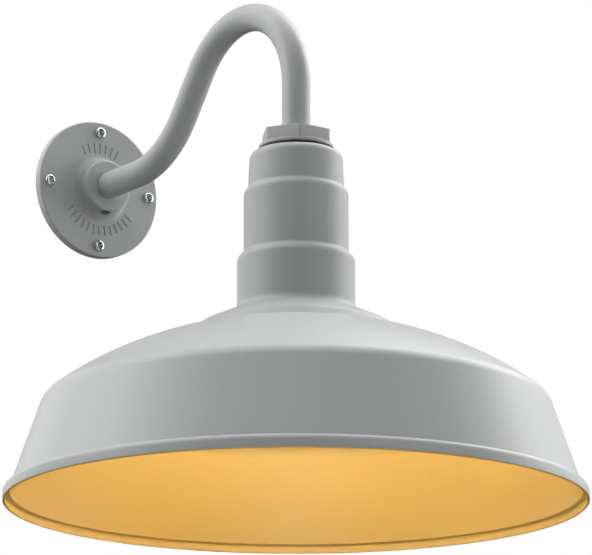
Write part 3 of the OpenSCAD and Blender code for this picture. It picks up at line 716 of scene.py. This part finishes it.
@dataclass
class Gooseneck:
    """The bent arm tube with its sleeve, bushings, locknut and washer."""

    body: str = "arm"
    tube_r: float = 10.65
    tube_wall: float = 2.1
    wall_end: float = 5.0
    wall_run: float = 62.0
    low_bend: float = 84.0
    top_bend: float = 70.5
    bend_rise: float = 20.5
    foot: float = -56.0
    nut_flats: float = 48.3
    nut_h: float = 10.3
    nut_corner: float = 1.4
    nut_edge: float = 0.5
    flange_r: float = 28.25
    flange_t: float = 2.8
    flange_foot: float = -29.6
    bore_gap: float = 0.05

    def build(self) -> None:
        """Build the tube and the nut, and dress the parts inside."""
        add_piece("gooseneck_tube", self.tube(), self.body, "grey_powder_coat", ["arm_tube"],
                  TUBE_COAT)
        add_piece("flanged_locknut", self.nut(), self.body, "grey_powder_coat", ["locknut"],
                  CAST_COAT, crease=34)
        dress(GLASS_BRAID, "arm_lead_sleeve")
        dress(NYLON, "arm_bushings")
        dress(NEOPRENE, "neck_washer")

    def tube(self) -> bmesh.types.BMesh:
        """Bend the tube along its centre line and give it its wall.

        Returns:
            The hollow tube, in place.
        """
        reach = -LAMP_MM[1]
        across = reach - self.wall_run - self.top_bend
        up = self.low_bend - self.bend_rise
        span = math.hypot(across, up)
        radii = self.top_bend + self.low_bend
        lean = math.asin(radii / span) - math.atan2(up, across)
        slope = math.sqrt(span ** 2 - radii ** 2)
        bend_steps = 40
        mesh = bmesh.new()
        ring = bmesh.ops.create_circle(
            mesh, cap_ends=False, radius=self.tube_r * MM, segments=64,
            matrix=off_wall(self.wall_end))["verts"]
        end: list[Any] = ring + list({edge for vert in ring for edge in vert.link_edges})

        def push(stretch: Vector, cuts: int) -> None:
            """Draw the tube's end on along a straight, in several equal steps."""
            nonlocal end
            for _ in range(cuts):
                grown = bmesh.ops.extrude_edge_only(
                    mesh, edges=[e for e in end if isinstance(e, bmesh.types.BMEdge)])["geom"]
                edge_ring = [e for e in grown if isinstance(e, bmesh.types.BMVert)]
                end = edge_ring + [
                    e for e in grown if isinstance(e, bmesh.types.BMEdge)
                    and all(vert in edge_ring for vert in e.verts)]
                bmesh.ops.translate(mesh, verts=edge_ring, vec=stretch * MM / cuts)

        def bend(centre: Vector, turn: float) -> None:
            """Turn the tube's end round a bend's centre."""
            nonlocal end
            end = bmesh.ops.spin(mesh, geom=end, cent=centre * MM, axis=(1, 0, 0), angle=turn,
                                 steps=bend_steps)["geom_last"]

        push(Vector((0, self.wall_end - self.wall_run, 0)), 6)
        bend(Vector((0, -self.wall_run, self.low_bend)), -lean)
        push(Vector((0, -math.cos(lean), math.sin(lean))) * slope, 4)
        bend(Vector((0, self.top_bend - reach, self.bend_rise)), lean + math.pi / 2)
        push(Vector((0, 0, self.foot - self.bend_rise)), 6)
        tidy(mesh)
        bmesh.ops.solidify(mesh, geom=mesh.faces[:], thickness=self.tube_wall * MM)
        return mesh

    def nut(self) -> bmesh.types.BMesh:
        """Round a hexagon's corners, add its round flange and bore both.

        Returns:
            The bored nut, in place.
        """
        corner_r = self.nut_flats / 2 / math.cos(math.radians(30))
        top = self.flange_t + self.nut_h
        sunk, upright_steps, rim_steps = 0.6, 5, 3
        body = bmesh.new()
        bmesh.ops.create_cone(
            body, cap_ends=True, cap_tris=False, segments=6, radius1=corner_r * MM,
            radius2=corner_r * MM, depth=(self.nut_h + sunk) * MM,
            matrix=Matrix.Translation((0, 0, (top - (self.nut_h + sunk) / 2) * MM))
            @ Matrix.Rotation(math.radians(30), 4, "Z"))
        upright = [e for e in body.edges if abs(e.verts[0].co.z - e.verts[1].co.z) > MM]
        bmesh.ops.bevel(body, geom=upright, offset=self.nut_corner * MM, offset_type="OFFSET",
                        segments=upright_steps, profile=0.5, affect="EDGES", material=-1)
        rim = [e for e in body.edges if min(v.co.z for v in e.verts) > (top - 0.1) * MM]
        bmesh.ops.bevel(body, geom=rim, offset=self.nut_edge * MM, offset_type="OFFSET",
                        segments=rim_steps, profile=0.5, affect="EDGES", material=-1)
        flange = Outline(0, 0).path(
            (self.flange_r, 0, 0.4), (self.flange_r, self.flange_t, 1.0),
            (0, self.flange_t)).turned(96)
        bore = Outline(0, -2).path(
            (self.tube_r + self.bore_gap, -2), (self.tube_r + self.bore_gap, top + 2),
            (0, top + 2)).turned(64)
        second = bore.copy()
        whole = joined(carved(body, bore), carved(flange, second))
        bmesh.ops.transform(whole, matrix=on_lamp(self.flange_foot), verts=whole.verts)
        return whole


@dataclass
class StepNeck:
    """The cast neck in three steps, with its collar and gasket."""

    def build(self) -> None:
        """Dress the neck's casting and its gasket."""
        dress(CAST_COAT, "neck")
        dress(NEOPRENE, "collar_gasket")


@dataclass
class Shade:
    """The spun shade, grey outside and amber inside, with its clamp."""

    body: str = "head"
    hole_r: float = 46.0
    collar_r: float = 78.0
    seat_h: float = 126.6
    shoulder_r: float = 187.4
    shoulder_h: float = 76.0
    shoulder_round: float = 16.0
    dome_bulge: float = 6.6
    skirt_foot_r: float = 209.7
    wall: float = 1.2
    rim_r: float = 215.0
    rim_h: float = 10.2
    rim_root: float = 0.8
    rim_bead: float = 4.5
    lip: float = 2.0
    lip_h: float = 6.8
    rim_z: float = -300.5
    clamp_r: float = 60.0
    clamp_foot: float = -177.1
    clamp_screw: PanScrew = PanScrew(head_r=4.0, head_h=2.4, shank_r=1.6, plain=0.6,
                                     thread_r=2.0, length=7.2, pitch=0.7)

    def build(self) -> None:
        """Spin the shade, split its two enamels, and add the clamp."""
        mesh = self.shell()
        for face in mesh.faces:
            middle = face.calc_center_median()
            outward = face.normal.x * middle.x + face.normal.y * middle.y
            inside = outward < 0 if abs(face.normal.z) < 0.5 else face.normal.z < 0
            face.material_index = int(inside)
        bmesh.ops.transform(mesh, matrix=on_lamp(self.rim_z), verts=mesh.verts)
        add_piece("spun_shade", mesh, self.body, "grey_enamel_shade", ["shade"],
                  SHEET_COAT, AMBER_ENAMEL, crease=40)
        places = [
            on_lamp(self.clamp_foot, x=self.clamp_r * math.cos(math.radians(angle)),
                    y=self.clamp_r * math.sin(math.radians(angle)))
            @ Matrix.Rotation(math.pi, 4, "X") for angle in (90, 210, 330)]
        add_piece("shade_clamp_screws", placed(self.clamp_screw.mesh(), *places), self.body,
                  "zinc_screws", ["clamp_screws"], BRIGHT_ZINC)
        dress(AMBER_ENAMEL, "clamp_ring")

    def shell(self) -> bmesh.types.BMesh:
        """Spin the wall with its rounded rim and folded lip.

        Returns:
            The closed shell, its rim's edge on z = 0 and its axis on z.
        """
        steps, wall = 24, self.wall
        slope = (self.skirt_foot_r - self.shoulder_r) / (self.shoulder_h - self.rim_h)
        lip_in = self.rim_r - self.lip
        skirt_in = self.skirt_foot_r + slope * (self.rim_h - self.lip_h) - wall * 1.06
        line = Outline(self.hole_r, self.seat_h).line(self.collar_r, self.seat_h)
        line.arc(self.shoulder_r, self.shoulder_h, self.dome_bulge, steps, self.shoulder_round)
        line.path(
            (self.skirt_foot_r, self.rim_h, self.rim_root),
            (self.rim_r, self.rim_h, self.rim_bead),
            (self.rim_r, 0, self.lip * 0.55), (lip_in, 0, self.lip * 0.3),
            (lip_in, self.lip_h, self.lip * 0.3), (skirt_in, self.lip_h))
        line.line(self.shoulder_r - wall * 0.7, self.shoulder_h - wall * 0.9,
                  self.shoulder_round - wall)
        line.arc(self.collar_r - wall * 0.2, self.seat_h - wall, -self.dome_bulge, steps)
        line.line(self.hole_r, self.seat_h - wall).closed()
        return line.turned(192, corner_steps=8)


@dataclass
class Lampholder:
    """The porcelain lampholder with its bracket, screws, contacts and leads."""

    body: str = "head"
    mouth: float = -154.9
    shell_in: float = 1.0
    shell_r: float = 13.4
    shell_depth: float = 0.34
    shell_h: float = 24.0
    pitch: float = 3.63
    bracket_top: float = -103.4
    socket_top: float = -104.9
    post_x: float = 23.6
    screw_y: float = 14.3
    small_screw: PanScrew = PanScrew(head_r=2.8, head_h=2.0, shank_r=1.3, plain=1.5,
                                     thread_r=1.5, length=7.5, pitch=0.5)

    def build(self) -> None:
        """Build the shell and the small screws, and dress the rest."""
        add_piece("threaded_screw_shell", self.shell(), self.body, "nickel_brass",
                  ["screw_shell"], NICKEL_BRASS)
        flip = Matrix.Rotation(math.pi, 4, "X")
        under = [on_lamp(self.socket_top, x=side * self.post_x) @ flip for side in (-1, 1)]
        add_piece("bracket_pan_screws", placed(self.small_screw.mesh(), *under), self.body,
                  "zinc_screws", ["bracket_screws"], BRIGHT_ZINC)
        over = [on_lamp(self.bracket_top, y=side * self.screw_y) for side in (-1, 1)]
        add_piece("lampholder_pan_screws", placed(self.small_screw.mesh(), *over), self.body,
                  "zinc_screws", ["socket_screws"], BRIGHT_ZINC)
        dress(ZINC_STRIP, "bracket_posts", "socket_bracket")
        dress(PORCELAIN, "socket_body")
        dress(PLAIN_BRASS, "center_contact", "socket_terminals")
        dress(GLASS_BRAID, "socket_lead_sleeve")
        dress(BLACK_LEAD, "lead_black")
        dress(WHITE_LEAD, "lead_white")

    def shell(self) -> bmesh.types.BMesh:
        """Roll the shell's thread and add its plain mouth and its shoulder."""
        wave = rolled_thread(self.shell_r + self.shell_depth, self.shell_depth, self.pitch, 5,
                             1.6, 0.1)
        mouth = Outline(self.shell_r, 0).path(
            (self.shell_r + 0.38, 0), (self.shell_r + 0.38, 2.4), (self.shell_r, 2.4)
            ).closed().turned(64)
        top = self.shell_h
        crown = Outline(self.shell_r, top - 3.4).path(
            (self.shell_r, top), (11, top), (11, top + 0.4), (self.shell_r + 0.38, top + 0.4),
            (self.shell_r + 0.38, top - 3.4)).closed().turned(64)
        whole = joined(wave, mouth, crown)
        bmesh.ops.transform(whole, matrix=on_lamp(self.mouth + self.shell_in),
                            verts=whole.verts)
        return whole


def rolled_thread(crest: float, depth: float, pitch: float, turns: int, start: float,
                  wall: float) -> bmesh.types.BMesh:
    """Roll a round electrical thread into thin sheet.

    Args:
        crest: Outer radius over the thread's crests.
        depth: Depth from crest to root.
        pitch: Distance from crest to crest.
        turns: Number of pitches drawn.
        start: Height where the thread starts.
        wall: Thickness of the sheet.

    Returns:
        The closed wave of sheet, with its axis on z.
    """
    middle, half = crest - depth / 2, pitch / 2
    line = Outline(middle, start)
    for turn in range(turns):
        foot = start + turn * pitch
        line.arc(middle, foot + half, -depth / 2, 4).arc(middle, foot + pitch, depth / 2, 4)
    wave = line.turned(64, pitch=pitch)
    for face in wave.faces:
        middle_point = face.calc_center_median()
        if face.normal.x * middle_point.x + face.normal.y * middle_point.y < 0:
            bmesh.ops.reverse_faces(wave, faces=wave.faces[:])
        break
    bmesh.ops.solidify(wave, geom=wave.faces[:], thickness=wall * MM)
    return wave


@dataclass
class Bulb:
    """The lit bulb: opal glass, rolled screw cap, insulator, contact and stem."""

    body: str = "bulb"
    cap_foot: float = -155.9
    cap_r: float = 13.1
    cap_top: float = -135.7
    insulator_r: float = 11.0
    thread_depth: float = 0.75
    pitch: float = 3.63
    glass_r: float = 30.0
    glass_tip: float = -237.9
    glass_wall: float = 0.8
    neck_r: float = 12.0

    def build(self) -> None:
        """Build the glass and the cap, and dress the small parts."""
        add_piece("opal_bulb_glass", self.glass(), self.body, "opal_glass", ["bulb_glass"],
                  OPAL_GLASS)
        add_piece("rolled_screw_cap", self.cap(), self.body, "nickel_brass", ["bulb_cap"],
                  NICKEL_BRASS)
        dress(VITRITE, "bulb_insulator")
        dress(SOLDER, "bulb_contact")
        dress(STEM_GLASS, "bulb_stem")
        dress(TUNGSTEN, "bulb_filament")

    def glass(self) -> bmesh.types.BMesh:
        """Blow the envelope: a thin pear with a round end and a narrow neck.

        Returns:
            The closed thin shell, in place.
        """
        wall, belly = self.glass_wall, self.glass_tip + self.glass_r + 14
        top, waist = self.cap_foot + 6, self.cap_foot - 12
        line = Outline(self.neck_r, top).path(
            (self.neck_r, self.cap_foot + 1), (self.neck_r + 0.7, self.cap_foot, 0.4),
            (self.neck_r + 0.7, waist, 18), (self.glass_r, belly, 34),
            (self.glass_r, self.glass_tip, self.glass_r - 0.5), (0, self.glass_tip))
        line.corners.sort(key=lambda corner: corner[1])
        outer = line.turned(96, corner_steps=14)
        bmesh.ops.solidify(outer, geom=outer.faces[:], thickness=wall * MM)
        bmesh.ops.transform(outer, matrix=on_lamp(), verts=outer.verts)
        return outer

    def cap(self) -> bmesh.types.BMesh:
        """Roll the cap's thread and add its plain foot and its cone.

        Returns:
            The cap, in place.
        """
        wave = rolled_thread(self.cap_r, self.thread_depth, self.pitch, 3,
                             self.cap_foot + 1.4, 0.25)
        ring_r, cone_foot = self.cap_r - 0.1, self.cap_top - 3.2
        foot = Outline(ring_r - 0.6, self.cap_foot).path(
            (ring_r, self.cap_foot, 0.15), (ring_r, self.cap_foot + 3.4, 0.15),
            (ring_r - 0.6, self.cap_foot + 3.4)).closed().turned(64)
        cone = Outline(ring_r - 0.6, cone_foot).path(
            (ring_r, cone_foot, 0.15), (ring_r, self.cap_top - 2, 1.0),
            (self.insulator_r, self.cap_top), (self.insulator_r - 0.5, self.cap_top - 0.3),
            (ring_r - 0.6, self.cap_top - 2.2)).closed().turned(64)
        whole = joined(wave, foot, cone)
        bmesh.ops.transform(whole, matrix=on_lamp(), verts=whole.verts)
        return whole


# ---- Studio -----------------------------------------------------------------------------


def show_camera(tree: bpy.types.NodeTree, seen: bpy.types.Node, other: bpy.types.Node,
                out: bpy.types.Node) -> None:
    """Show one shader to the camera's own rays and another to all the rest."""
    path = add_node(tree, "LightPath")
    mix = add_node(tree, "MixShader", {
        0: path.outputs["Is Camera Ray"], 1: other.outputs[0], 2: seen.outputs[0]})
    tree.links.new(mix.outputs[0], out.inputs["Surface"])


@dataclass(frozen=True)
class Softbox:
    """One rectangular soft light, aimed at the lamp.

    Attributes:
        name: The light's name.
        turn: Degrees round the lamp from the camera's side, to the right if positive.
        rise: Degrees over the level of the lamp.
        power: Power in watts.
        size: Width and height in metres.
        distance: Metres from the lamp.
    """

    name: str
    turn: float
    rise: float
    power: float
    size: tuple[float, float] = (1.4, 1.8)
    distance: float = 2.3

    def build(self, target: Vector, view_turn: Vector) -> None:
        """Add the light and turn it to the target."""
        rise = math.radians(self.rise)
        level = -view_turn.normalized() * math.cos(rise)
        way = Matrix.Rotation(math.radians(self.turn), 3, "Z") @ Vector((*level, math.sin(rise)))
        data = bpy.data.lights.new(self.name, "AREA")
        data.shape = "RECTANGLE"
        data.size, data.size_y = self.size
        data.energy = self.power
        light = bpy.data.objects.new(self.name, data)
        bpy.context.scene.collection.objects.link(light)
        light.location = target + way * self.distance
        light.rotation_euler = (target - light.location).to_track_quat("-Z", "Y").to_euler()


@dataclass(frozen=True)
class Studio:
    """Camera, soft lights, pale surroundings and a pale floor."""

    camera_place: Vector = Vector((-1.5337, -2.3800, -0.7798))
    view_turn: Vector = Vector((0.5895, 0.8078))
    view_pitch: float = 14.05
    lens: float = 218.9
    sensor: float = 36.0
    target: Vector = Vector((0.0, -0.26, -0.14))
    floor_z: float = -5.9
    floor_half: float = 60.0
    floor_tone: str = "#ECECEA"
    surround: str = "#141414"
    softboxes: tuple[Softbox, ...] = (
        Softbox("left_front", -75, 8, 18.0),
        Softbox("left", -105, 8, 8.0),
        Softbox("left_back", -135, 12, 13.5),
        Softbox("left_top", -90, 45, 29.5),
        Softbox("left_back_top", -130, 50, 6.7),
        Softbox("right", 105, 8, 27.7),
        Softbox("right_back", 135, 12, 13.4),
        Softbox("right_back_top", 130, 50, 38.0),
        Softbox("right_front", 38, 15, 13.9),
        Softbox("back_top", -180, 68, 7.3),
        Softbox("front_top", 0, 48, 5.8),
        Softbox("front_low", 0, -50, 11.7),
        Softbox("top", -1, 89, 19.7),
    )

    def build(self) -> None:
        """Add everything round the lamp."""
        self.add_camera()
        for box in self.softboxes:
            box.build(self.target, self.view_turn)
        self.add_surround()
        self.add_floor()
        bpy.context.scene.view_settings.view_transform = "Standard"

    def add_camera(self) -> None:
        """Add the camera below the lamp, looking up at its front left."""
        data = bpy.data.cameras.new("camera")
        data.lens = self.lens
        data.sensor_width = self.sensor
        camera = bpy.data.objects.new("camera", data)
        bpy.context.scene.collection.objects.link(camera)
        camera.location = self.camera_place
        pitch = math.radians(self.view_pitch)
        look = Vector((*(self.view_turn.normalized() * math.cos(pitch)), math.sin(pitch)))
        camera.rotation_euler = look.to_track_quat("-Z", "Y").to_euler()
        bpy.context.scene.camera = camera

    def add_surround(self) -> None:
        """Give the world a white look to the camera and a softer grey to the object."""
        world = bpy.data.worlds.new("studio_surround")
        world.use_nodes = True
        bpy.context.scene.world = world
        tree = world.node_tree
        soft = tree.nodes["Background"]
        soft.inputs["Color"].default_value = linear(self.surround)
        white = add_node(tree, "Background", {"Color": (1, 1, 1, 1), "Strength": 1.0})
        show_camera(tree, white, soft, tree.nodes["World Output"])

    def add_floor(self) -> None:
        """Lay the plain pale floor."""
        bm = bmesh.new()
        bmesh.ops.create_grid(bm, x_segments=4, y_segments=4, size=self.floor_half,
                              matrix=Matrix.Translation((0, 0, self.floor_z)))
        mesh = bpy.data.meshes.new("floor")
        bm.to_mesh(mesh)
        bm.free()
        floor = bpy.data.objects.new("floor", mesh)
        bpy.context.scene.collection.objects.link(floor)
        matt = Finish("matt_white_floor", Making.MOULDED, "#F2F2F0", "#EEEEEC", roughness=0.8,
                      grain_mm=9, depth_mm=0.05, cloud_mm=900).material()
        mesh.materials.append(matt)
        tree = matt.node_tree
        # The floor lies metres below the lamp, where the softboxes hardly reach, so the
        # camera sees it in an even pale tone.
        pale = add_node(tree, "Emission", {"Color": linear(self.floor_tone), "Strength": 1.0})
        show_camera(tree, pale, tree.nodes["Principled BSDF"], tree.nodes["Material Output"])


def main() -> None:
    """Build the light in order and report each piece."""
    logging.basicConfig(level=logging.INFO, format="%(message)s")
    Studio().build()
    for part in (WallMount(), Gooseneck(), StepNeck(), Shade(), Lampholder(), Bulb()):
        LOG.info("%s", type(part).__name__)
        part.build()


if __name__ == "__main__":
    main()
